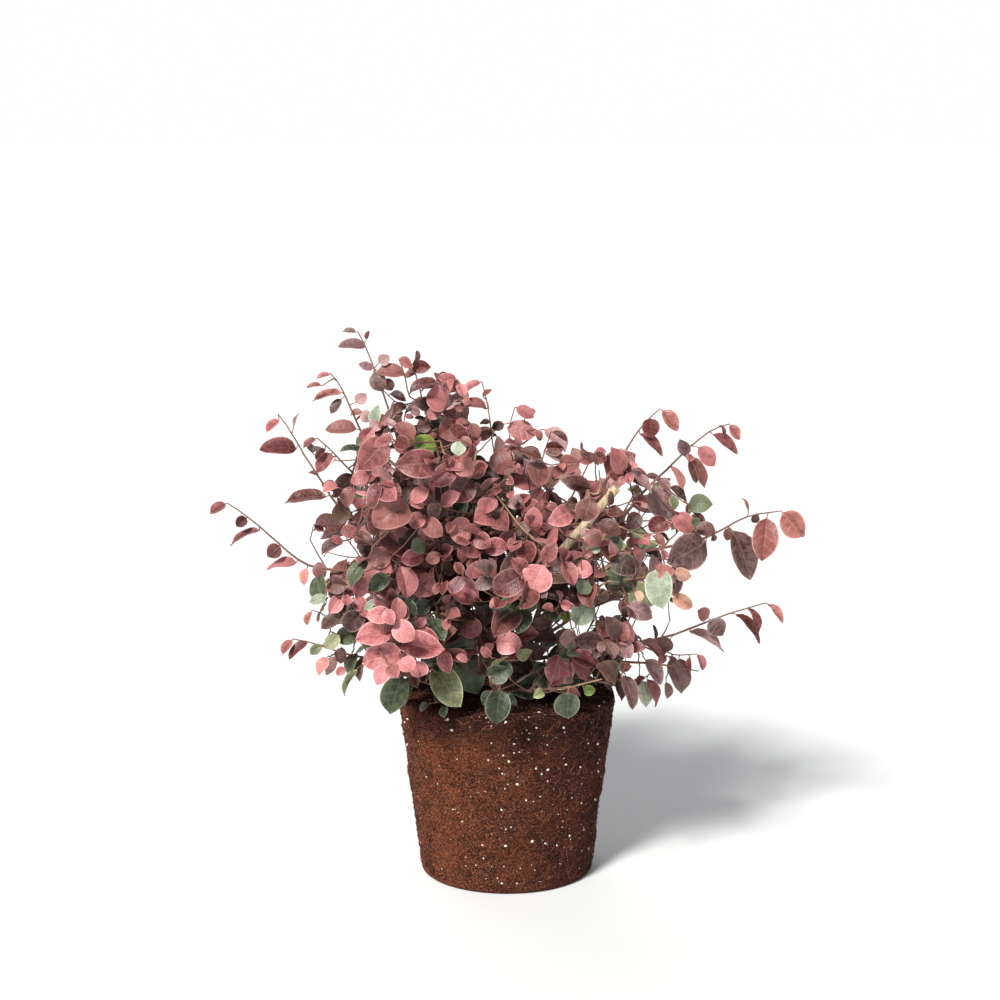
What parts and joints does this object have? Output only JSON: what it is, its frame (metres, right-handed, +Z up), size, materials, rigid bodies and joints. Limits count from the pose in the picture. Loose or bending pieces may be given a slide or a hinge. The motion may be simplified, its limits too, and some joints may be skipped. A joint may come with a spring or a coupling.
{
  "type": "fringe flower shrub",
  "caption": "Broadleaf evergreen shrub with wine-red, plum and olive leaves on arching boughs, standing on its bare tapered root ball.",
  "frame": {"origin": "centre of the root ball's flat underside", "axes": "+Z up along the trunk, -Y towards the picture's viewpoint, +X to the picture's right"},
  "size_m": [0.7159, 0.5627, 0.6691],
  "materials": {
    "root_ball": "matte felt of roots and potting mix",
    "bark": "matte grey-brown bark",
    "burgundy_leaves": "satin leaf",
    "plum_leaves": "satin leaf",
    "rose_leaves": "satin young leaf",
    "olive_leaves": "satin leaf"
  },
  "bodies": {
    "root": {"bough_arch": "bark", "bough_back": "bark", "bough_back_left": "bark", "bough_back_right": "bark", "bough_breast": "bark", "bough_brow": "bark", "bough_crest": "bark", "bough_crown_back": "bark", "bough_front": "bark", "bough_front_left": "bark", "bough_front_right": "bark", "bough_left": "bark", "bough_left_middle": "bark", "bough_left_upper": "bark", "bough_peak": "bark", "bough_right": "bark", "bough_right_spike": "bark", "bough_right_upper": "bark", "bough_saddle": "bark", "bough_spike": "bark", "bough_top": "bark", "foliage_arch": "burgundy_leaves", "foliage_back": "plum_leaves", "foliage_back_foot": "plum_leaves", "foliage_back_foot_left": "plum_leaves", "foliage_back_foot_right": "plum_leaves", "foliage_back_left": "plum_leaves", "foliage_back_right": "plum_leaves", "foliage_breast": "burgundy_leaves", "foliage_brow": "burgundy_leaves", "foliage_crest": "burgundy_leaves", "foliage_crown_back": "plum_leaves", "foliage_front": "burgundy_leaves", "foliage_front_foot": "plum_leaves", "foliage_front_left": "burgundy_leaves", "foliage_front_low": "olive_leaves", "foliage_front_right": "burgundy_leaves", "foliage_left": "burgundy_leaves", "foliage_left_foot": "olive_leaves", "foliage_left_low": "plum_leaves", "foliage_left_middle": "burgundy_leaves", "foliage_left_upper": "burgundy_leaves", "foliage_peak": "burgundy_leaves", "foliage_right": "burgundy_leaves", "foliage_right_foot": "plum_leaves", "foliage_right_low": "burgundy_leaves", "foliage_right_spike": "burgundy_leaves", "foliage_right_upper": "burgundy_leaves", "foliage_rim": "olive_leaves", "foliage_rose": "rose_leaves", "foliage_saddle": "plum_leaves", "foliage_spike": "burgundy_leaves", "foliage_top": "burgundy_leaves", "root_ball": "root_ball", "sawn_limb": "bark", "trunk": "bark"}
  },
  "joints": []
}
